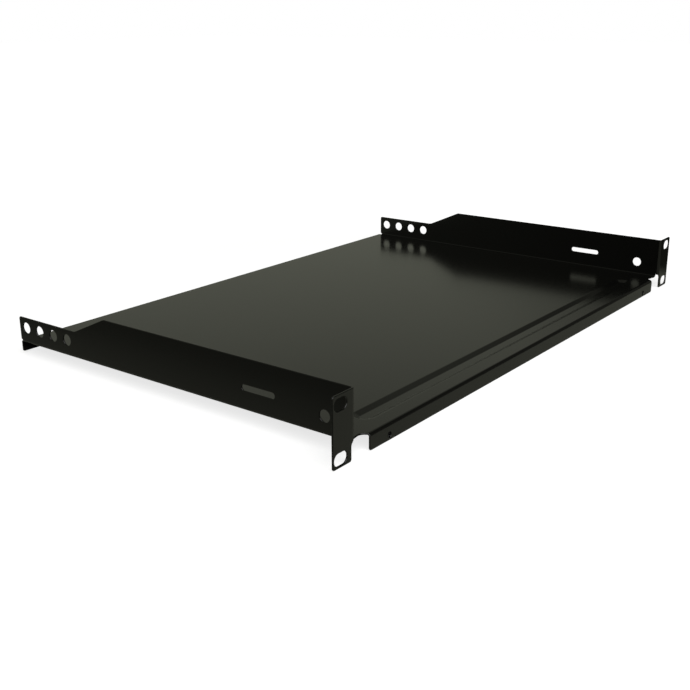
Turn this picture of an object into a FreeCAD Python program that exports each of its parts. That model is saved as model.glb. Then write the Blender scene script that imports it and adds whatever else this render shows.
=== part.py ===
import FreeCAD, Part
import math
import os

# 19-inch cantilever rack shelf, one folded sheet.
# X runs across the rack, Y into it, Z up. While it is built, Y = 0 is the front
# face of the ears. The finished shelf is centred over the depth at the end.
# Z = 0 is the lowest edge, where the ears and the front lip end.

# ---- driving dimensions, mm ----
sheet = 1.2              # sheet thickness
bend_in = 1.0            # inside radius of every fold
depth = 300.0            # ear face to rear flange face
deck_rise = 9.3          # underside of the deck above the lowest edge

rack_pitch_x = 465.1     # ear slots, left to right
rack_pitch_z = 31.75     # ear slots, one rack unit's outer holes
wall_to_slot = 11.55     # outside of a wall to the middle of the ear's slots
slot_to_edge = 6.95      # middle of the slots to the ear's outer edge
slot_to_foot = 5.125     # middle of the lower slot to the ear's foot
slot_to_top = 5.8        # middle of the upper slot to the ear's top
ear_slot_length = 11.5
ear_slot_width = 7.5
ear_inset = 2.0          # ear's inner edge below the fold, from the wall's outside
ear_corner = 1.5         # rounding of the ear corners

tab_top = 28.5           # top edge of the low rear part of the walls
tab_length = 61.0        # low rear part, from the wall's rear edge
ramp_run = 31.5          # slanted edge between low and full height
ramp_foot = 10.0         # rounding where the slanted edge meets the low part
ramp_crest = 3.0         # rounding where it meets the full height
wall_corner = 1.5

row_hole = 7.9           # row of holes in the low rear part
row_pitch = 15.0
row_count = 4
row_edge = 7.5           # last hole to the wall's rear edge
row_below_top = 7.5      # holes below the low part's top edge
side_hole = 7.5          # single hole behind each ear
side_hole_y = 20.5
side_hole_z = 21.0
side_slot_length = 25.8
side_slot_width = 3.8
side_slot_y = 70.0
side_slot_z = 24.0

lip_inset = 15.0         # end of the front lip, from the wall's outside
lip_corner = 1.5
flange_inset = 1.5       # end of the rear flange, from the wall's outside
flange_height = 9.0      # top of the deck to the flange's edge
rear_relief = 3.0        # relief hole where wall, deck and flange folds meet
lip_hole = 3.5           # small hole near each end of the lip
lip_hole_inset = 19.0    # from the lip's end
lip_hole_z = 3.4

gap_depth = 5.0          # how far the relief between lip and ear runs into the deck
gap_rise = 1.5           # how far it runs up the wall fold above the deck
gap_crown = 4.5          # from the lip's end to where it is deepest
gap_side = 1.8           # its depth beside the ear
gap_bow = 0.68           # fullness of its long side, 0.5 straight to 0.71 round
gap_round = 3.5          # round corner beside the ear

bead_inset = 28.0        # end of the pressed bead, from the wall's outside
bead_width = 15.0
bead_y = 19.0
bead_depth = 1.5
bead_angle = 20.0        # slope of its flanks, degrees

# ---- derived ----
bend_out = bend_in + sheet
deck_top = deck_rise + sheet
slot_x = rack_pitch_x / 2
half_body = slot_x - wall_to_slot      # outside of a side wall
half_over = slot_x + slot_to_edge      # outer edge of an ear
half_inner = half_body - sheet
half_lip = half_body - lip_inset
half_flange = half_body - flange_inset
half_bead = half_body - bead_inset
lip_hole_x = half_lip - lip_hole_inset
ear_inner = half_body + ear_inset
height = slot_to_foot + rack_pitch_z + slot_to_top   # ears, front part of the walls
gap_top = deck_top + gap_rise
wall_rear = depth - bend_out           # walls stop where the flange fold starts
low_start = wall_rear - tab_length
ramp_start = low_start - ramp_run
row_z = tab_top - row_below_top
beyond = 5.0                           # how far cutting tools overrun the sheet


def prism(points, run):
    """Extrude the closed polygon through points along the vector run."""
    loop = [FreeCAD.Vector(*p) for p in points]
    wire = Part.makePolygon(loop + [loop[0]])
    return Part.Face(wire).extrude(FreeCAD.Vector(*run))


def round_edges(solid, radius, direction, spots):
    """Round the edges parallel to direction that pass through the spots."""
    chosen = []
    axis = FreeCAD.Vector(*direction)
    for edge in solid.Edges:
        if len(edge.Vertexes) != 2:
            continue
        a, b = edge.Vertexes[0].Point, edge.Vertexes[1].Point
        along = (b - a).normalize()
        if abs(abs(along.dot(axis)) - 1) > 1e-6:
            continue
        for spot in spots:
            off = FreeCAD.Vector(*spot) - a
            if (off - axis * off.dot(axis)).Length < 1e-4:
                chosen.append(edge)
                break
    return solid.makeFillet(radius, chosen)


def obround(centre, length, width, along, normal, thick):
    """Slot-shaped solid, centred on centre, its length along one axis."""
    c = FreeCAD.Vector(*centre)
    u = FreeCAD.Vector(*along)
    n = FreeCAD.Vector(*normal)
    v = n.cross(u)
    r = width / 2
    half = length / 2 - r
    base = c - n * (thick / 2)
    p1 = base - u * half - v * r
    p2 = base + u * half - v * r
    p3 = base + u * half + v * r
    p4 = base - u * half + v * r
    edges = [Part.LineSegment(p1, p2).toShape(),
             Part.Arc(p2, base + u * (half + r), p3).toShape(),
             Part.LineSegment(p3, p4).toShape(),
             Part.Arc(p4, base - u * (half + r), p1).toShape()]
    return Part.Face(Part.Wire(edges)).extrude(n * thick)


def drill(centre, diameter, normal, thick):
    """Round hole cutter centred on centre."""
    n = FreeCAD.Vector(*normal)
    start = FreeCAD.Vector(*centre) - n * (thick / 2)
    return Part.makeCylinder(diameter / 2, thick, start, n)


def mirrored(shape):
    """The same shape on the other side of the shelf."""
    return shape.mirror(FreeCAD.Vector(0, 0, 0), FreeCAD.Vector(1, 0, 0))


def tray():
    """Deck with both side walls, folded up along the depth."""
    y = bend_out
    run = wall_rear - bend_out
    outline = [(-half_body, y, deck_rise), (half_body, y, deck_rise),
               (half_body, y, height), (half_inner, y, height),
               (half_inner, y, deck_top), (-half_inner, y, deck_top),
               (-half_inner, y, height), (-half_body, y, height)]
    solid = prism(outline, (0, run, 0))
    outer = [(-half_body, y, deck_rise), (half_body, y, deck_rise)]
    inner = [(-half_inner, y, deck_top), (half_inner, y, deck_top)]
    solid = round_edges(solid, bend_out, (0, 1, 0), outer)
    return round_edges(solid, bend_in, (0, 1, 0), inner)


def wall_trim():
    """What is cut off both walls to leave the low rear part and its ramp."""
    slope = (height - tab_top) / ramp_run
    top = height + beyond
    x = half_body + beyond
    outline = [(-x, ramp_start - beyond / slope, top),
               (-x, low_start, tab_top),
               (-x, wall_rear + beyond, tab_top),
               (-x, wall_rear + beyond, top)]
    cutter = prism(outline, (2 * x, 0, 0))
    return round_edges(cutter, ramp_foot, (1, 0, 0), [(-x, low_start, tab_top)])


def lip_strip():
    """Front lip folded down from the deck, with a short run of deck."""
    run = 2 * bend_out + beyond
    x = -half_lip
    outline = [(x, 0, 0), (x, sheet, 0), (x, sheet, deck_rise),
               (x, run, deck_rise), (x, run, deck_top), (x, 0, deck_top)]
    solid = prism(outline, (2 * half_lip, 0, 0))
    solid = round_edges(solid, bend_out, (1, 0, 0), [(x, 0, deck_top)])
    solid = round_edges(solid, bend_in, (1, 0, 0), [(x, sheet, deck_rise)])
    corners = [(-half_lip, 0, 0), (half_lip, 0, 0)]
    return round_edges(solid, lip_corner, (0, 1, 0), corners)


def flange_strip():
    """Rear flange folded down from the deck, with a short run of deck.

    The flange is as wide as the body, but its run of deck stays between the
    wall folds.
    """
    run = 2 * bend_out + beyond
    x = -half_flange
    foot = deck_top - flange_height
    inner = depth - sheet
    outline = [(x, depth, foot), (x, depth, deck_top), (x, depth - run, deck_top),
               (x, depth - run, deck_rise), (x, inner, deck_rise), (x, inner, foot)]
    solid = prism(outline, (2 * half_flange, 0, 0))
    solid = round_edges(solid, bend_out, (1, 0, 0), [(x, depth, deck_top)])
    solid = round_edges(solid, bend_in, (1, 0, 0), [(x, inner, deck_rise)])
    corners = [(x, depth, foot), (-x, depth, foot)]
    solid = round_edges(solid, lip_corner, (0, 1, 0), corners)
    clear = Part.makeBox(beyond + half_body, run + beyond, height,
                         FreeCAD.Vector(half_body - bend_out, wall_rear - run - beyond, 0))
    return solid.cut([clear, mirrored(clear)])


def rear_corner_relief():
    """Round relief through the right-hand rear corner of the folds."""
    bottom = deck_top - bend_out
    top = deck_rise + bend_out
    centre = FreeCAD.Vector(half_body - bend_out / 2, wall_rear, bottom)
    return Part.makeCylinder(rear_relief / 2, top - bottom, centre)


def ear():
    """Right ear folded outward from the wall's front edge, slots not yet cut.

    Its tongue hangs past the deck. The relief's round top shapes the edge
    where the tongue leaves the fold.
    """
    run = 2 * bend_out + beyond
    z = gap_top - gap_round
    outline = [(half_inner, 0, z), (half_over, 0, z), (half_over, sheet, z),
               (half_body, sheet, z), (half_body, run, z), (half_inner, run, z)]
    fold = prism(outline, (0, 0, height - z))
    fold = round_edges(fold, bend_out, (0, 0, 1), [(half_inner, 0, z)])
    fold = round_edges(fold, bend_in, (0, 0, 1), [(half_body, sheet, z)])
    below = Part.makeBox(2 * bend_out, run, gap_top - z,
                         FreeCAD.Vector(half_inner - bend_in, bend_out, z))
    tongue = Part.makeBox(half_over - ear_inner, sheet, gap_top,
                          FreeCAD.Vector(ear_inner, 0, 0))
    plate = fold.cut(below).fuse(tongue).removeSplitter()
    corners = [(half_over, 0, 0), (half_over, 0, height), (ear_inner, 0, 0)]
    return round_edges(plate, ear_corner, (0, 1, 0), corners)


def corner_gap():
    """Relief where deck, wall, ear and lip meet on the right-hand side.

    From above it is an arch between the lip's end and the ear, and from the
    front it ends in a round corner beside the ear.
    """
    crown = half_lip + gap_crown
    low = -beyond
    a = FreeCAD.Vector(half_lip, low, low)
    b = FreeCAD.Vector(half_lip, 0, low)
    c = FreeCAD.Vector(crown, gap_depth, low)
    d = FreeCAD.Vector(ear_inner, gap_side, low)
    e = FreeCAD.Vector(ear_inner, low, low)
    lean = math.sqrt(0.5)
    near = FreeCAD.Vector(crown - gap_crown * lean, gap_depth * lean, low)
    far = FreeCAD.Vector((crown + ear_inner) / 2,
                         gap_side + (gap_depth - gap_side) * gap_bow, low)
    edges = [Part.LineSegment(a, b).toShape(),
             Part.Arc(b, near, c).toShape(), Part.Arc(c, far, d).toShape(),
             Part.LineSegment(d, e).toShape(),
             Part.LineSegment(e, a).toShape()]
    plan = Part.Face(Part.Wire(edges)).extrude(FreeCAD.Vector(0, 0, gap_top + beyond))
    block = Part.makeBox(ear_inner - half_lip, 2 * beyond + gap_depth, gap_top + beyond,
                         FreeCAD.Vector(half_lip, low, low))
    block = round_edges(block, gap_round, (0, 1, 0), [(ear_inner, 0, gap_top)])
    return plan.common(block)


def bead_section():
    """Half section of the pressed bead: radius from its centre line, height."""
    lean = math.radians(bead_angle)
    s, c = math.sin(lean), math.cos(lean)
    rim = bead_width / 2
    arcs_drop = (bend_in + bend_out) * (1 - c)
    flank = (bead_depth - arcs_drop) / s
    foot = rim - (bend_in + bend_out) * s - flank * c
    top_centre = (rim, deck_top - bend_out)
    low_centre = (foot, deck_top - bead_depth + bend_in)

    def arc(centre, radius, start, stop):
        pts = []
        for k in (0, 0.5, 1):
            a = start + (stop - start) * k
            pts.append(FreeCAD.Vector(centre[0] + radius * math.cos(a), 0,
                                      centre[1] + radius * math.sin(a)))
        return pts

    up = math.pi / 2
    rim_top = arc(top_centre, bend_out, up, up + lean)
    foot_top = arc(low_centre, bend_in, lean - up, -up)
    foot_low = arc(low_centre, bend_out, -up, lean - up)
    rim_low = arc(top_centre, bend_in, up + lean, up)
    mid_top = FreeCAD.Vector(0, 0, deck_top - bead_depth)
    mid_low = FreeCAD.Vector(0, 0, deck_rise - bead_depth)
    return [Part.Arc(*rim_top).toShape(),
            Part.LineSegment(rim_top[2], foot_top[0]).toShape(),
            Part.Arc(*foot_top).toShape(),
            Part.LineSegment(foot_top[2], mid_top).toShape(),
            Part.LineSegment(mid_top, mid_low).toShape(),
            Part.LineSegment(mid_low, foot_low[0]).toShape(),
            Part.Arc(*foot_low).toShape(),
            Part.LineSegment(foot_low[2], rim_low[0]).toShape(),
            Part.Arc(*rim_low).toShape(),
            Part.LineSegment(rim_low[2], rim_top[0]).toShape()]


def bead():
    """The pressed bead: straight run with a round end at each side."""
    face = Part.Face(Part.Wire(bead_section()))
    centre = half_bead - bead_width / 2
    end = face.revolve(FreeCAD.Vector(0, 0, 0), FreeCAD.Vector(0, 0, 1), 180)
    end.rotate(FreeCAD.Vector(0, 0, 0), FreeCAD.Vector(0, 0, 1), -90)
    end.translate(FreeCAD.Vector(centre, 0, 0))
    side = face.copy()
    side.rotate(FreeCAD.Vector(0, 0, 0), FreeCAD.Vector(0, 0, 1), 90)
    side.translate(FreeCAD.Vector(-centre, 0, 0))
    run = side.extrude(FreeCAD.Vector(2 * centre, 0, 0))
    other = run.mirror(FreeCAD.Vector(0, 0, 0), FreeCAD.Vector(0, 1, 0))
    solid = run.fuse([other, end, mirrored(end)]).removeSplitter()
    solid.translate(FreeCAD.Vector(0, bead_y, 0))
    return solid


def side_cutters():
    """Openings of the right-hand wall, ear and lip end."""
    through = 4 * sheet
    wall_x = half_body - sheet / 2
    lip_y = sheet / 2
    cutters = []
    for k in range(row_count):
        y = wall_rear - row_edge - k * row_pitch
        cutters.append(drill((wall_x, y, row_z), row_hole, (1, 0, 0), through))
    cutters.append(drill((wall_x, side_hole_y, side_hole_z), side_hole, (1, 0, 0),
                         through))
    cutters.append(obround((wall_x, side_slot_y, side_slot_z), side_slot_length,
                           side_slot_width, (0, 1, 0), (1, 0, 0), through))
    for z in (slot_to_foot, slot_to_foot + rack_pitch_z):
        cutters.append(obround((slot_x, lip_y, z), ear_slot_length,
                               ear_slot_width, (1, 0, 0), (0, 1, 0), through))
    cutters.append(drill((lip_hole_x, lip_y, lip_hole_z), lip_hole,
                         (0, 1, 0), through))
    return cutters


def build_shelf():
    """The whole folded sheet as one solid."""
    body = tray().cut(wall_trim())
    body = round_edges(body, wall_corner, (1, 0, 0), [(0, wall_rear, tab_top)])
    body = round_edges(body, ramp_crest, (1, 0, 0), [(0, ramp_start, height)])
    right_ear = ear()
    body = body.fuse([lip_strip(), flange_strip(), right_ear, mirrored(right_ear)])
    body = body.removeSplitter()
    for gap in (corner_gap(), rear_corner_relief()):
        body = body.cut([gap, mirrored(gap)])
    window = obround((0, bead_y, deck_rise + sheet / 2), 2 * half_bead, bead_width,
                     (1, 0, 0), (0, 0, 1), 4 * sheet)
    body = body.cut(window).fuse(bead()).removeSplitter()
    cutters = side_cutters()
    body = body.cut(cutters + [mirrored(c) for c in cutters])
    return body.removeSplitter()


shelf = build_shelf()
if shelf.ShapeType == "Compound" and len(shelf.Solids) == 1:
    shelf = shelf.Solids[0]
shelf.translate(FreeCAD.Vector(0, -depth / 2, 0))

os.makedirs("parts", exist_ok=True)
shelf.exportStep("parts/shelf.step")
box = shelf.BoundBox
print("shelf valid", shelf.isValid(), "solids", len(shelf.Solids), "faces", len(shelf.Faces))
print("size", round(box.XLength, 2), round(box.YLength, 2), round(box.ZLength, 2))
print("volume mm3", round(shelf.Volume, 1))
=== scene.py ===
import math

import bpy
from mathutils import Matrix, Vector
from mathutils.geometry import delaunay_2d_cdt


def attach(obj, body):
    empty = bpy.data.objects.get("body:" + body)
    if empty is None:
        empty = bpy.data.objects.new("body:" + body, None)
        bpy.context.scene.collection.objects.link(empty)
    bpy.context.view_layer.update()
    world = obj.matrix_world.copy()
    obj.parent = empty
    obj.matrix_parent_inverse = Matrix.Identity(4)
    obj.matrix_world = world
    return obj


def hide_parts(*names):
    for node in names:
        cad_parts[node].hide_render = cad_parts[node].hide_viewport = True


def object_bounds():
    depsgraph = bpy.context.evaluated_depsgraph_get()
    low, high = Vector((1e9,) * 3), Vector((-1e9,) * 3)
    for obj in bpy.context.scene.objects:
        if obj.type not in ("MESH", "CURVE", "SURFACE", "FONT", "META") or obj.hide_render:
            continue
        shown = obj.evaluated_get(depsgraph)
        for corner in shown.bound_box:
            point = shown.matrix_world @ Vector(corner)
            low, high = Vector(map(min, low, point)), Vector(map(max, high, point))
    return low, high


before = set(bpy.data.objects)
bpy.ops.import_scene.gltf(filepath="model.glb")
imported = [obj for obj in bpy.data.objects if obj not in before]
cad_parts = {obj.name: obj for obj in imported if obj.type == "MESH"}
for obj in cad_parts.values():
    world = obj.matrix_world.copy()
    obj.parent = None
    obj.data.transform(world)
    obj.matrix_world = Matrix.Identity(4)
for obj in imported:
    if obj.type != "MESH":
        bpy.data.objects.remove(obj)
cad_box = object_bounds()
scene = bpy.context.scene

# ---- The camera ----
# It stands in front of the shelf's left corner, a little above it, and looks
# down into the tray.
view_from = Vector((-0.62143, -0.45283, 0.23526))
view_yaw = math.radians(52.378)          # from +Y towards +X
view_pitch = math.radians(18.569)        # downwards
view_roll = math.radians(-0.323)

camera_data = bpy.data.cameras.new("camera")
camera_data.sensor_width = 36.0
camera_data.lens = 52.506
camera_data.clip_start = 0.01
camera_data.clip_end = 50.0
camera = bpy.data.objects.new("camera", camera_data)
scene.collection.objects.link(camera)
ahead = Vector((math.sin(view_yaw) * math.cos(view_pitch),
                math.cos(view_yaw) * math.cos(view_pitch), -math.sin(view_pitch)))
level = Vector((math.cos(view_yaw), -math.sin(view_yaw), 0.0))
up = level.cross(ahead)
right = level * math.cos(view_roll) + up * math.sin(view_roll)
above = up * math.cos(view_roll) - level * math.sin(view_roll)
turn = Matrix((right, above, -ahead)).transposed().to_4x4()
camera.matrix_world = Matrix.Translation(view_from) @ turn
scene.camera = camera

# ---- The folded sheet ----
# The whole shelf is one steel sheet, cut and punched flat, with a stiffening
# bead pressed near its front. It is folded six times on a press brake, powder
# coated, and bolted to the rack by its two ears.


def node(tree, kind, settings=None, links=None):
    """Add one node, set its properties or named inputs, and link its inputs."""
    new = tree.nodes.new(kind)
    for key, value in (settings or {}).items():
        if isinstance(key, int) or key in new.inputs:
            new.inputs[key].default_value = value
        else:
            setattr(new, key, value)
    for key, source in (links or {}).items():
        tree.links.new(source, new.inputs[key])
    return new


def linear(code):
    """sRGB hex colour as linear RGBA."""
    parts = [int(code[i:i + 2], 16) / 255 for i in (1, 3, 5)]
    return [c / 12.92 if c <= 0.04045 else ((c + 0.055) / 1.055) ** 2.4
            for c in parts] + [1.0]


# Black polyester powder, sprayed and baked: a closed satin skin with a faint
# orange peel. It mirrors its surroundings softly, most of all at a flat angle.
coat = bpy.data.materials.new("satin black powder coat")
coat.use_nodes = True
tree = coat.node_tree
shader = tree.nodes["Principled BSDF"]
shader.inputs["Base Color"].default_value = linear("#070706")
shader.inputs["Roughness"].default_value = 0.17
shader.inputs["IOR"].default_value = 1.48
peel = 1.4                 # orange peel, mm from crest to crest
peel_height = 0.02         # mm
grain = 0.35               # grain of the powder, mm, coarser than real so that it shows
grain_height = 0.01        # mm
fine_bump = 0.10           # both are faint
where = node(tree, "ShaderNodeTexCoord")
waves = node(tree, "ShaderNodeTexNoise", {"Scale": 1000 / peel, "Detail": 1.0},
             {"Vector": where.outputs["Object"]})
specks = node(tree, "ShaderNodeTexNoise", {"Scale": 1000 / grain, "Detail": 0.0},
              {"Vector": where.outputs["Object"]})
skin = node(tree, "ShaderNodeBump",
            {"Strength": fine_bump, "Distance": peel_height / 1000},
            {"Height": waves.outputs["Fac"]})
skin = node(tree, "ShaderNodeBump",
            {"Strength": fine_bump, "Distance": grain_height / 1000},
            {"Height": specks.outputs["Fac"], "Normal": skin.outputs["Normal"]})
tree.links.new(skin.outputs["Normal"], shader.inputs["Normal"])

# Sizes in mm, from the middle across, from the ears' face into the rack, and up
# from the shelf's lowest edge. A place on the flat blank is (u, v): u across,
# v along, both as if the deck stayed where it is.
sheet = 1.2
bend_in = 1.0              # inside radius of every fold
bend_out = bend_in + sheet
fold_run = math.pi / 2 * (bend_in + sheet / 2)   # flat length used up by a fold
half_over = cad_box[1][0] * 1000           # outer edge of an ear
depth = (cad_box[1][1] - cad_box[0][1]) * 1000
height = cad_box[1][2] * 1000
deck_top = 10.5
ear_reach = 18.5           # how far an ear stands out from its wall
half_body = half_over - ear_reach          # outside of a side wall
wall_bend = half_body - sheet - bend_in    # where a wall starts to fold up
front_bend = bend_out                      # where lip and ears start to fold
rear_bend = depth - bend_out               # where the rear flange starts to fold
deck_bend = deck_top - bend_out            # height at which lip and flange are upright
corner_round = 1.5         # corners of the lip, the ears, the tabs and the flange
edge_round = 0.42          # paint rounds the cut edges

# How finely folds, arcs, corners, holes, bead and cut edges are divided.
fold_steps = 8
arc_steps = 8
corner_steps = 6
hole_steps = 16
bead_steps = 5
bead_turns = 32
edge_steps = 3


def wall_at(z):
    """Place across the blank of a point at height z on a wall or an ear."""
    return wall_bend + fold_run + z - (deck_top + bend_in)


def ear_at(x):
    """Place along the blank of a point of an ear, x from the middle."""
    return front_bend - fold_run - (x - half_body - bend_in)


def circle_through(a, b, c):
    """Centre and radius of the circle through three points."""
    (ax, ay), (bx, by), (cx, cy) = a, b, c
    d = 2 * (ax * (by - cy) + bx * (cy - ay) + cx * (ay - by))
    a2, b2, c2 = ax * ax + ay * ay, bx * bx + by * by, cx * cx + cy * cy
    x = (a2 * (by - cy) + b2 * (cy - ay) + c2 * (ay - by)) / d
    y = (a2 * (cx - bx) + b2 * (ax - cx) + c2 * (bx - ax)) / d
    return x, y, math.hypot(ax - x, ay - y)


def steps_between(first, last, count):
    """Evenly spaced values from first to last, both included."""
    return [first + (last - first) * k / count for k in range(count + 1)]


def rounded(corners):
    """Replace each corner (u, v, radius, mark) by its arc; radius 0 keeps it."""
    out = []
    for i, (u, v, radius, mark) in enumerate(corners):
        if radius == 0:
            out.append((u, v, mark))
            continue
        here = Vector((u, v))
        before = (Vector(corners[i - 1][:2]) - here).normalized()
        after = (Vector(corners[(i + 1) % len(corners)][:2]) - here).normalized()
        half = before.angle(after) / 2
        middle = here + (before + after).normalized() * (radius / math.sin(half))
        start = here + before * (radius / math.tan(half)) - middle
        stop = here + after * (radius / math.tan(half)) - middle
        for share in steps_between(0, 1, corner_steps):
            spoke = start.slerp(stop, share).normalized() * radius
            out.append((middle.x + spoke.x, middle.y + spoke.y, None))
    return out


# The relief at a front corner, between lip, deck, wall and ear. Seen from above
# it is a short arc up from the lip's end and a long one down to the ear.
lip_end = half_body - 15.0
lip_foot = front_bend - fold_run - deck_bend     # its place along the blank
ear_inner = half_body + 2.0                # inner edge of the ear's tongue
relief_rise = 4.5                          # the short arc's reach across
relief_depth = 5.0
relief_side = 1.8                          # depth at the ear
relief_bow = 0.68                          # how full the long arc is
crown = lip_end + relief_rise
lean = math.sqrt(0.5)
lip_arc = circle_through((lip_end, 0), (crown - relief_rise * lean, relief_depth * lean),
                         (crown, relief_depth))
ear_arc = circle_through(
    (crown, relief_depth),
    ((crown + ear_inner) / 2, relief_side + (relief_depth - relief_side) * relief_bow),
    (ear_inner, relief_side))
# seen from the front it ends in a round corner beside the tongue
relief_top = deck_top + 1.5
relief_round = 3.5
round_x = ear_inner - relief_round
round_z = relief_top - relief_round


def on_ear_arc(x):
    """Depth of the relief's long arc, x from the middle."""
    return ear_arc[1] + math.sqrt(ear_arc[2] ** 2 - (x - ear_arc[0]) ** 2)


def lip_side():
    """From the lip's foot, through its fold and round the relief to the wall."""
    side = [(lip_end, lip_foot, corner_round, None)]
    for k in range(fold_steps, -1, -1):
        y = front_bend - bend_out * math.sin(k / fold_steps * math.pi / 2)
        x = lip_arc[0] - math.sqrt(max(lip_arc[2] ** 2 - (y - lip_arc[1]) ** 2, 0))
        side.append((max(x, lip_end), front_bend - fold_run * k / fold_steps, 0,
                     ("lip", k)))
    start = math.atan2(front_bend - lip_arc[1], side[-1][0] - lip_arc[0])
    stop = math.atan2(relief_depth - lip_arc[1], crown - lip_arc[0])
    for angle in steps_between(start, stop, arc_steps)[1:]:
        side.append((lip_arc[0] + lip_arc[2] * math.cos(angle),
                     lip_arc[1] + lip_arc[2] * math.sin(angle), 0, None))
    for x in steps_between(crown, wall_bend, arc_steps)[1:-1]:
        side.append((x, on_ear_arc(x), 0, None))
    for k in range(fold_steps + 1):
        x = wall_bend + (bend_in + sheet / 2) * math.sin(k / fold_steps * math.pi / 2)
        side.append((wall_bend + fold_run * k / fold_steps, on_ear_arc(x), 0,
                     ("wall_front", k)))
    return side


def ear_side():
    """Round the relief's top corner, down the tongue, and round the ear."""
    side = [(wall_at(relief_top), on_ear_arc(half_body - sheet / 2), 0, None)]
    for k in range(fold_steps + 1):
        x = half_body + bend_in - bend_out * math.cos(k / fold_steps * math.pi / 2)
        z = round_z + math.sqrt(relief_round ** 2 - (x - round_x) ** 2)
        side.append((wall_at(z), front_bend - fold_run * k / fold_steps, 0,
                     ("ear_low", k)))
    start = math.asin((half_body + bend_in - round_x) / relief_round)
    for angle in steps_between(start, math.pi / 2, corner_steps)[1:]:
        x = round_x + relief_round * math.sin(angle)
        z = round_z + relief_round * math.cos(angle)
        side.append((wall_at(z), ear_at(x), 0, None))
    side += [(wall_at(0), ear_at(ear_inner), corner_round, None),
             (wall_at(0), ear_at(half_over), corner_round, None),
             (wall_at(height), ear_at(half_over), corner_round, None)]
    for k in range(fold_steps, -1, -1):
        side.append((wall_at(height), front_bend - fold_run * k / fold_steps, 0,
                     ("ear_top", k)))
    return side


# The wall's top edge drops by a ramp to the tab, the low rear part.
tab_top = 28.5
tab_length = 61.0
ramp_run = 31.5
ramp_crest = 3.0           # radius at the top of the ramp
ramp_foot = 10.0           # radius at its foot
# the flange, and a round relief where the folds of wall, deck and flange meet
flange_end = half_body - 1.5
flange_foot = deck_top - 9.0
notch = 1.5                # the rear relief's radius
notch_u = wall_bend + fold_run / 2


def rear_side():
    """Along the wall's top edge, round the rear corner, and down the flange."""
    side = [(wall_at(height), rear_bend - tab_length - ramp_run, ramp_crest, None),
            (wall_at(tab_top), rear_bend - tab_length, ramp_foot, None),
            (wall_at(tab_top), rear_bend, corner_round, None),
            (notch_u + notch, rear_bend, 0, None)]
    for k in range(fold_steps, -1, -1):
        u = wall_bend + fold_run * k / fold_steps
        side.append((u, rear_bend - math.sqrt(notch ** 2 - (u - notch_u) ** 2), 0,
                     ("wall_rear", k)))
    side.append((notch_u - notch, rear_bend, 0, ("flange", 0)))
    # how far behind the bend the relief runs into the flange's end
    meet = math.sqrt(notch ** 2 - (flange_end - notch_u) ** 2)
    for k in range(1, fold_steps + 1):
        v = fold_run * k / fold_steps
        if v < meet:
            u = notch_u - math.sqrt(notch ** 2 - v ** 2)
        else:
            u = flange_end
            v = meet if v - fold_run / fold_steps < meet else v
        side.append((u, rear_bend + v, 0, ("flange", k)))
    side.append((flange_end, rear_bend + fold_run + deck_bend - flange_foot,
                 corner_round, None))
    return side


def punched(u, v, length, width):
    """Outline of a round hole or a slot, clockwise, its length along v."""
    radius = width / 2
    straight = (length - width) / 2
    points = []
    for end in (1, -1):
        for k in range(hole_steps + 1):
            angle = -math.pi * k / hole_steps
            a, b = radius * math.cos(angle) * end, radius * math.sin(angle) * end
            b -= straight * end
            if straight or k < hole_steps:
                points.append((u + a, v + b))
    return points


def opposite(loop):
    """The same outline on the other side, still turning the same way."""
    return [(-p[0],) + tuple(p[1:]) for p in reversed(loop)]


right_side = lip_side() + ear_side() + rear_side()
left_side = [(-u, v, radius, mark and (mark[0] + "_left", mark[1]))
             for u, v, radius, mark in reversed(right_side)]
outline = rounded(right_side + left_side)

# What is punched: two screw slots in each ear, four holes in each tab, a hole
# and a slot in each wall, and a small hole near each end of the lip.
ear_slot = (11.5, 7.5)     # length and width
ear_slot_x = half_over - 6.95
ear_slot_low = 5.125
rack_pitch = 31.75         # from the lower slot to the upper one
tab_hole = 7.9
tab_hole_z = tab_top - 7.5
tab_hole_edge = 7.5        # from the last hole to the rear bend
tab_hole_pitch = 15.0
tab_hole_count = 4
wall_hole = 7.5
wall_hole_y, wall_hole_z = 20.5, 21.0
wall_slot = (25.8, 3.8)
wall_slot_y, wall_slot_z = 70.0, 24.0
lip_hole = 3.5
lip_hole_x, lip_hole_z = lip_end - 19.0, 3.4

openings = [punched(wall_at(z), ear_at(ear_slot_x), *ear_slot)
            for z in (ear_slot_low, ear_slot_low + rack_pitch)]
for k in range(tab_hole_count):
    openings.append(punched(wall_at(tab_hole_z),
                            rear_bend - tab_hole_edge - tab_hole_pitch * k,
                            tab_hole, tab_hole))
openings.append(punched(wall_at(wall_hole_z), wall_hole_y, wall_hole, wall_hole))
openings.append(punched(wall_at(wall_slot_z), wall_slot_y, *wall_slot))
openings.append(punched(lip_hole_x, lip_foot + lip_hole_z, lip_hole, lip_hole))
openings += [opposite(loop) for loop in openings]


def inset(loop, distance):
    """The loop moved towards the metal, which lies on its left."""
    sharpest = 0.5         # keeps a sharp corner from moving too far
    moved = []
    for i, point in enumerate(loop):
        here = Vector(point[:2])
        back = (here - Vector(loop[i - 1][:2])).normalized()
        on = (Vector(loop[(i + 1) % len(loop)][:2]) - here).normalized()
        aim = Vector((-back.y - on.y, back.x + on.x)).normalized()
        reach = distance / max(aim.dot(Vector((-on.y, on.x))), sharpest)
        moved.append(here + aim * reach)
    return moved


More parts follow.
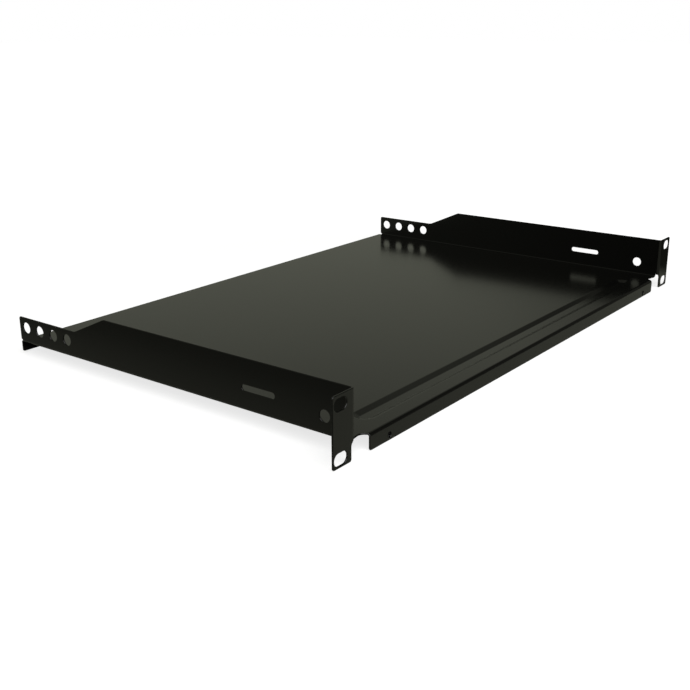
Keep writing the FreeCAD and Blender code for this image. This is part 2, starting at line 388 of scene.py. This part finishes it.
# The bead: a shallow channel with round ends. Each row gives the radius from
# its middle line and the drop, for the upper and the lower face of the sheet.
bead_y = 19.0
bead_half = half_body - 28.0
bead_radius = 7.5
bead_drop = 1.5
flank = math.radians(20.0)
flank_run = (bead_drop - (bend_in + bend_out) * (1 - math.cos(flank))) / math.sin(flank)
bead_foot = (bead_radius - (bend_in + bend_out) * math.sin(flank)
             - flank_run * math.cos(flank))
bead_rows = []
for angle in steps_between(0, flank, bead_steps):
    bead_rows.append([(bead_radius - r * math.sin(angle), r * (1 - math.cos(angle)))
                      for r in (bend_out, bend_in)])
for angle in steps_between(flank, 0, bead_steps):
    bead_rows.append([(bead_foot + r * math.sin(angle),
                       bead_drop - r * (1 - math.cos(angle)))
                      for r in (bend_in, bend_out)])


def bead_ring(radius):
    """Points and outward directions of one ring of the bead."""
    ring = []
    for end in (1, -1):
        middle = Vector((end * (bead_half - bead_radius), bead_y))
        for angle in steps_between(-math.pi / 2, math.pi / 2, bead_turns):
            out = Vector((math.cos(angle), math.sin(angle))) * end
            ring.append((middle + out * radius, middle, out))
    return ring


# Lay the flat faces out as triangles between the edges, the fold lines and
# the bead's rows.
flat_points, flat_edges, loop_starts = [], [], []
loops = [outline] + openings
for loop in loops:
    start = len(flat_points)
    loop_starts.append(start)
    flat_points += inset(loop, edge_round)
    size = len(loop)
    flat_edges += [(start + i, start + (i + 1) % size) for i in range(size)]
marks = {mark: i for i, (_, _, mark) in enumerate(outline) if mark}
for k in range(fold_steps + 1):
    for one, other in (("lip", "lip_left"), ("flange", "flange_left"),
                       ("wall_front", "wall_rear"), ("ear_low", "ear_top"),
                       ("wall_front_left", "wall_rear_left"),
                       ("ear_low_left", "ear_top_left")):
        flat_edges.append((marks[(one, k)], marks[(other, k)]))
bead_of = {}
for row in bead_rows:
    start = len(flat_points)
    ring = bead_ring((row[0][0] + row[1][0]) / 2)
    for place, middle, out in ring:
        bead_of[len(flat_points)] = (middle, out, row)
        flat_points.append(place)
    size = len(ring)
    flat_edges += [(start + i, start + (i + 1) % size) for i in range(size)]
within_outline = 1         # no triangles beyond it; those in the openings go below
same_place = 1e-5          # points nearer than this are one
placed, _, triangles, origins, _, _ = delaunay_2d_cdt(
    flat_points, flat_edges, [], within_outline, same_place)
owner = {}
for number, start in enumerate(loop_starts):
    for i in range(len(loops[number])):
        owner[start + i] = number
origin = [ids[0] if ids else None for ids in origins]
after = {first: i for i, first in enumerate(origin) if first is not None}

points, faces = [], []
for lower in (0, 1):
    for i, place in enumerate(placed):
        u, v, drop = place.x, place.y, 0.0
        if origin[i] in bead_of:
            middle, out, row = bead_of[origin[i]]
            radius, drop = row[lower]
            u, v = middle + out * radius
        points.append((u, v, -drop - sheet * lower))
count = len(placed)
for corners in triangles:
    holes = {owner.get(origin[i], 0) for i in corners}
    if len(holes) == 1 and 0 not in holes:
        continue
    faces.append(tuple(corners))
    faces.append(tuple(count + i for i in reversed(corners)))

# The cut edges, rounded between the two faces.
turns = steps_between(0, math.pi / 2, edge_steps)
edge_rows = [(1 - math.sin(a), edge_round * (1 - math.cos(a))) for a in turns]
edge_rows += [(1 - math.sin(a), sheet - edge_round * (1 - math.cos(a)))
              for a in reversed(turns)]
for number, loop in enumerate(loops):
    rows = [[after[loop_starts[number] + i] for i in range(len(loop))]]
    for share, low in edge_rows[1:-1]:
        rows.append(list(range(len(points), len(points) + len(loop))))
        points += [(p.x, p.y, -low) for p in inset(loop, edge_round * share)]
    rows.append([count + i for i in rows[0]])
    for upper, under in zip(rows, rows[1:]):
        for i in range(len(loop)):
            j = (i + 1) % len(loop)
            faces.append((upper[i], under[i], under[j], upper[j]))

# The blank as a mesh, with the parts that each fold turns marked on its points.
metres = [(u / 1000, (v - depth / 2) / 1000, (deck_top + w) / 1000)
          for u, v, w in points]
blank = bpy.data.meshes.new("blank")
blank.from_pydata(metres, [], faces)
parting = lip_end + 2.0                    # between the lip's end and the tongue
wall_stop = rear_bend + 0.01               # walls end here, the flange lies beyond
regions = {
    "lip": lambda u, v: v < front_bend and abs(u) < parting,
    "flange": lambda u, v: v > wall_stop,
    "right wall": lambda u, v: ((u > wall_bend and v < wall_stop)
                                or (u > parting and v < front_bend)),
    "left wall": lambda u, v: ((-u > wall_bend and v < wall_stop)
                               or (-u > parting and v < front_bend)),
    "right ear": lambda u, v: u > parting and v < front_bend,
    "left ear": lambda u, v: -u > parting and v < front_bend}
for name, holds in regions.items():
    marked = blank.attributes.new(name, "BOOLEAN", "POINT")
    marked.data.foreach_set("value", [bool(holds(u, v)) for u, v, _ in points])


def brake():
    """Node tree that folds one region of a flat sheet round a straight line."""
    tree = bpy.data.node_groups.new("press brake", "GeometryNodeTree")
    made = {}
    for name, kind in (("Sheet", "Geometry"), ("Region", "String"), ("Stiff", "String"),
                       ("Fold line", "Vector"), ("Outward", "Vector"),
                       ("Towards", "Vector"), ("Inside radius", "Float"),
                       ("Thickness", "Float"), ("Angle", "Float"), ("Coat", "Material")):
        made[name] = tree.interface.new_socket(name, in_out="INPUT",
                                               socket_type="NodeSocket" + kind).identifier
    tree.interface.new_socket("Sheet", in_out="OUTPUT", socket_type="NodeSocketGeometry")
    given = node(tree, "NodeGroupInput").outputs

    place = node(tree, "GeometryNodeInputPosition").outputs[0]
    away = node(tree, "ShaderNodeVectorMath", {"operation": "SUBTRACT"},
                {0: place, 1: given["Fold line"]}).outputs[0]
    run = node(tree, "ShaderNodeVectorMath", {"operation": "DOT_PRODUCT"},
               {0: away, 1: given["Outward"]}).outputs["Value"]
    rise = node(tree, "ShaderNodeVectorMath", {"operation": "DOT_PRODUCT"},
                {0: away, 1: given["Towards"]}).outputs["Value"]
    region = node(tree, "GeometryNodeInputNamedAttribute", {"data_type": "BOOLEAN"},
                  {"Name": given["Region"]}).outputs["Attribute"]
    stiff = node(tree, "GeometryNodeInputNamedAttribute", {"data_type": "BOOLEAN"},
                 {"Name": given["Stiff"]}).outputs["Attribute"]
    # flat length that the fold uses up, and how far round each point has gone
    middle = node(tree, "ShaderNodeMath", {"operation": "MULTIPLY_ADD", 1: 0.5},
                  {0: given["Thickness"], 2: given["Inside radius"]}).outputs[0]
    spent = node(tree, "ShaderNodeMath", {"operation": "MULTIPLY"},
                 {0: given["Angle"], 1: middle}).outputs[0]
    share = node(tree, "ShaderNodeMath", {"operation": "DIVIDE", "use_clamp": True},
                 {0: run, 1: spent}).outputs[0]
    done = node(tree, "ShaderNodeMath", {"operation": "MAXIMUM"},
                {0: share, 1: stiff}).outputs[0]
    turned = node(tree, "ShaderNodeMath", {"operation": "MULTIPLY"},
                  {0: done, 1: given["Angle"]}).outputs[0]
    sine = node(tree, "ShaderNodeMath", {"operation": "SINE"}, {0: turned}).outputs[0]
    cosine = node(tree, "ShaderNodeMath", {"operation": "COSINE"},
                  {0: turned}).outputs[0]
    beyond = node(tree, "ShaderNodeMath", {"operation": "SUBTRACT"},
                  {0: run, 1: spent}).outputs[0]
    past = node(tree, "ShaderNodeMath", {"operation": "MAXIMUM", 1: 0.0},
                {0: beyond}).outputs[0]
    straight = node(tree, "GeometryNodeSwitch", {"input_type": "FLOAT"},
                    {"Switch": stiff, "False": past, "True": beyond}).outputs[0]
    radius = node(tree, "ShaderNodeMath", {"operation": "SUBTRACT"},
                  {0: given["Inside radius"], 1: rise}).outputs[0]
    # how far the point moves outward, and how far towards the folded side
    arc_out = node(tree, "ShaderNodeMath", {"operation": "MULTIPLY"},
                   {0: radius, 1: sine}).outputs[0]
    reach_out = node(tree, "ShaderNodeMath", {"operation": "MULTIPLY_ADD"},
                     {0: straight, 1: cosine, 2: arc_out}).outputs[0]
    out = node(tree, "ShaderNodeMath", {"operation": "SUBTRACT"},
               {0: reach_out, 1: run}).outputs[0]
    versine = node(tree, "ShaderNodeMath", {"operation": "SUBTRACT", 0: 1.0},
                   {1: cosine}).outputs[0]
    arc_up = node(tree, "ShaderNodeMath", {"operation": "MULTIPLY"},
                  {0: radius, 1: versine}).outputs[0]
    raised = node(tree, "ShaderNodeMath", {"operation": "MULTIPLY_ADD"},
                  {0: straight, 1: sine, 2: arc_up}).outputs[0]
    outward = node(tree, "ShaderNodeVectorMath", {"operation": "SCALE"},
                   {0: given["Outward"], "Scale": out}).outputs[0]
    upward = node(tree, "ShaderNodeVectorMath", {"operation": "SCALE"},
                  {0: given["Towards"], "Scale": raised}).outputs[0]
    move = node(tree, "ShaderNodeVectorMath", {"operation": "ADD"},
                {0: outward, 1: upward}).outputs[0]
    folded = node(tree, "GeometryNodeSetPosition", None,
                  {"Geometry": given["Sheet"], "Selection": region, "Offset": move})
    solid = node(tree, "GeometryNodeRealizeInstances", None,
                 {"Geometry": folded.outputs[0]})
    coated = node(tree, "GeometryNodeSetMaterial", None,
                  {"Geometry": solid.outputs[0], "Material": given["Coat"]})
    node(tree, "NodeGroupOutput", None, {0: coated.outputs[0]})
    return tree, made


press, sockets = brake()
flat = bpy.data.objects.new("flat_blank", blank)
scene.collection.objects.link(flat)


def fold(region, stiff, line, outward, towards):
    """Add one right-angled fold to the blank; the line is in mm."""
    step = flat.modifiers.new(region + " fold", "NODES")
    step.node_group = press
    x, y, z = line
    for name, value in (("Region", region), ("Stiff", stiff),
                        ("Fold line", (x / 1000, (y - depth / 2) / 1000, z / 1000)),
                        ("Outward", outward), ("Towards", towards),
                        ("Inside radius", bend_in / 1000), ("Thickness", sheet / 1000),
                        ("Angle", math.pi / 2), ("Coat", coat)):
        step[sockets[name]] = value


deck_low = deck_top - sheet
fold("lip", "", (0.0, front_bend, deck_low), (0.0, -1.0, 0.0), (0.0, 0.0, -1.0))
fold("flange", "", (0.0, rear_bend, deck_low), (0.0, 1.0, 0.0), (0.0, 0.0, -1.0))
for name, sign in (("right", 1.0), ("left", -1.0)):
    fold(name + " wall", name + " ear", (sign * wall_bend, 0.0, deck_top),
         (sign, 0.0, 0.0), (0.0, 0.0, 1.0))
    fold(name + " ear", "", (sign * half_body, front_bend, 0.0),
         (0.0, -1.0, 0.0), (sign, 0.0, 0.0))

bpy.context.view_layer.update()
graph = bpy.context.evaluated_depsgraph_get()
mesh = bpy.data.meshes.new_from_object(flat.evaluated_get(graph))
mesh.name = "folded_sheet"
shelf = bpy.data.objects.new("folded_sheet", mesh)
scene.collection.objects.link(shelf)
bpy.data.objects.remove(flat)
for name in regions:
    mesh.attributes.remove(mesh.attributes[name])

# Large faces decide the shading of the points that they share with a fold or
# a rounded edge, so flat stays flat.
shading = [Vector((0.0, 0.0, 0.0)) for _ in mesh.vertices]
for face in mesh.polygons:
    face.use_smooth = True
    for i in face.vertices:
        shading[i] += face.normal * face.area
mesh.normals_split_custom_set_from_vertices([n.normalized() for n in shading])

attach(shelf, "root")
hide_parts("shelf")

# ---- The floor ----
# Matt white studio paper, rolled out under the shelf and far behind it. The lens
# sees it white, with the shelf's soft shadow on it. The coat mirrors it dimmer,
# with the shade of a black flag painted on its left and on its right.
paper = bpy.data.materials.new("matt studio paper")
paper.use_nodes = True
tree = paper.node_tree
tree.nodes.clear()
rays = node(tree, "ShaderNodeLightPath")
where = node(tree, "ShaderNodeTexCoord")
place = node(tree, "ShaderNodeSeparateXYZ", None, {0: where.outputs["Object"]})

# For the lens the paper glows up to white, less so round the shelf, so that the
# shadow stays. Lengths are in metres.
shadow_reach, white_reach = 0.30, 0.60     # from the shelf's middle
shadow_glow = 0.76
away = node(tree, "ShaderNodeVectorMath", {"operation": "LENGTH"},
            {0: where.outputs["Object"]})
glow = node(tree, "ShaderNodeMapRange",
            {"From Min": shadow_reach, "From Max": white_reach,
             "To Min": shadow_glow, "To Max": 1.0}, {"Value": away.outputs["Value"]})

# Painted shade: no glow in the strip under the deck seen through the lip's holes.
strip_y, strip_half_depth = -0.144, 0.0055
strip_x, strip_half_width = 0.009, 0.197
behind_lip = node(tree, "ShaderNodeMath",
                  {"operation": "COMPARE", 1: strip_y, 2: strip_half_depth},
                  {0: place.outputs["Y"]})
along_lip = node(tree, "ShaderNodeMath",
                 {"operation": "COMPARE", 1: strip_x, 2: strip_half_width},
                 {0: place.outputs["X"]})
painted_shade_strip = node(tree, "ShaderNodeMath", {"operation": "MULTIPLY"},
             {0: behind_lip.outputs[0], 1: along_lip.outputs[0]})
elsewhere = node(tree, "ShaderNodeMath", {"operation": "SUBTRACT", 0: 1.0},
                 {1: painted_shade_strip.outputs[0]})
glow_level = node(tree, "ShaderNodeMath", {"operation": "MULTIPLY"},
                  {0: glow.outputs["Result"], 1: elsewhere.outputs[0]})
lit = node(tree, "ShaderNodeBsdfDiffuse", {"Color": linear("#aaaaaa")})
glowing = node(tree, "ShaderNodeEmission", {"Color": linear("#ffffff")},
               {"Strength": glow_level.outputs[0]})
seen = node(tree, "ShaderNodeAddShader", None,
            {0: lit.outputs[0], 1: glowing.outputs[0]})

# For the coat it is paper in its own light, with painted shade past an edge on each side.
left_shade_end, left_lit_from, left_shade = -0.30, -0.21, 0.36
right_lit_to, right_shade_from, right_shade = 0.265, 0.30, 0.12
painted_shade_left = node(tree, "ShaderNodeMapRange",
                 {"From Min": left_shade_end, "From Max": left_lit_from,
                  "To Min": left_shade, "To Max": 1.0}, {"Value": place.outputs["X"]})
painted_shade_right = node(tree, "ShaderNodeMapRange",
                  {"From Min": right_lit_to, "From Max": right_shade_from,
                   "To Min": 1.0, "To Max": right_shade}, {"Value": place.outputs["X"]})
painted_flag_shade = node(tree, "ShaderNodeMath", {"operation": "MULTIPLY"},
             {0: painted_shade_left.outputs[0], 1: painted_shade_right.outputs[0]})
tone = node(tree, "ShaderNodeMix",
            {"data_type": "RGBA", "A": linear("#000000"), "B": linear("#999b8d")},
            {"Factor": painted_flag_shade.outputs[0]})
mirrored = node(tree, "ShaderNodeBsdfDiffuse", None, {"Color": tone.outputs["Result"]})

to_lens = node(tree, "ShaderNodeMath", {"operation": "MAXIMUM"},
               {0: rays.outputs["Is Camera Ray"], 1: rays.outputs["Is Transmission Ray"]})
pick = node(tree, "ShaderNodeMixShader", None,
            {0: to_lens.outputs[0], 1: mirrored.outputs[0], 2: seen.outputs[0]})
node(tree, "ShaderNodeOutputMaterial", None, {"Surface": pick.outputs[0]})

paper_reach = 6.0                          # each way
paper_top = -0.0002                        # just clear of the shelf's lowest edge
floor_mesh = bpy.data.meshes.new("floor")
floor_mesh.from_pydata([(-paper_reach, -paper_reach, paper_top),
                        (paper_reach, -paper_reach, paper_top),
                        (paper_reach, paper_reach, paper_top),
                        (-paper_reach, paper_reach, paper_top)], [], [(0, 1, 2, 3)])
floor = bpy.data.objects.new("floor", floor_mesh)
scene.collection.objects.link(floor)
floor_mesh.materials.append(paper)

# ---- The studio light ----
# One large round softbox high behind the camera, in a room that is pale round
# the horizon at the rear, darker overhead, and flagged off to the front and the
# sides. The lens itself sees the room as plain white.
softbox_data = bpy.data.lights.new("softbox", "AREA")
softbox_data.shape = "DISK"
softbox_data.size = 3.0
softbox_data.energy = 66.0
softbox = bpy.data.objects.new("softbox", softbox_data)
scene.collection.objects.link(softbox)
softbox.location = (-0.95, -1.35, 1.65)
softbox.rotation_euler = (-Vector(softbox.location)).to_track_quat("-Z", "Y").to_euler()

world = bpy.data.worlds.new("studio")
scene.world = world
world.use_nodes = True
tree = world.node_tree
tree.nodes.clear()
rays = node(tree, "ShaderNodeLightPath")
where = node(tree, "ShaderNodeTexCoord")
aim = node(tree, "ShaderNodeSeparateXYZ", None, {0: where.outputs["Generated"]})

# The room's light by the height of the direction, where 1 is straight up.
horizon_to, overhead_from = 0.30, 0.85
horizon_level, overhead_level = 0.30, 0.10
fade = node(tree, "ShaderNodeMapRange",
            {"From Min": horizon_to, "From Max": overhead_from,
             "To Min": horizon_level, "To Max": overhead_level},
            {"Value": aim.outputs["Z"]})
# The flag stands to the front and the sides, and its edge leans to the rear.
flag_from, clear_from, flag_lean, flag_shade = 0.56, 0.72, 0.9, 0.25
past_edge = node(tree, "ShaderNodeMath", {"operation": "MULTIPLY_ADD", 1: flag_lean},
                 {0: aim.outputs["Z"], 2: aim.outputs["Y"]})
past_flag = node(tree, "ShaderNodeMapRange",
                 {"From Min": flag_from, "From Max": clear_from,
                  "To Min": flag_shade, "To Max": 1.0}, {"Value": past_edge.outputs[0]})
room_level = node(tree, "ShaderNodeMath", {"operation": "MULTIPLY"},
                  {0: fade.outputs[0], 1: past_flag.outputs[0]})
room = node(tree, "ShaderNodeBackground", {"Color": linear("#fbffe8")},
            {"Strength": room_level.outputs[0]})
white = node(tree, "ShaderNodeBackground", {"Color": linear("#ffffff"), "Strength": 1.0})
to_lens = node(tree, "ShaderNodeMath", {"operation": "MAXIMUM"},
               {0: rays.outputs["Is Camera Ray"], 1: rays.outputs["Is Transmission Ray"]})
pick = node(tree, "ShaderNodeMixShader", None,
            {0: to_lens.outputs[0], 1: room.outputs[0], 2: white.outputs[0]})
node(tree, "ShaderNodeOutputWorld", None, {"Surface": pick.outputs[0]})

scene.view_settings.view_transform = "Standard"
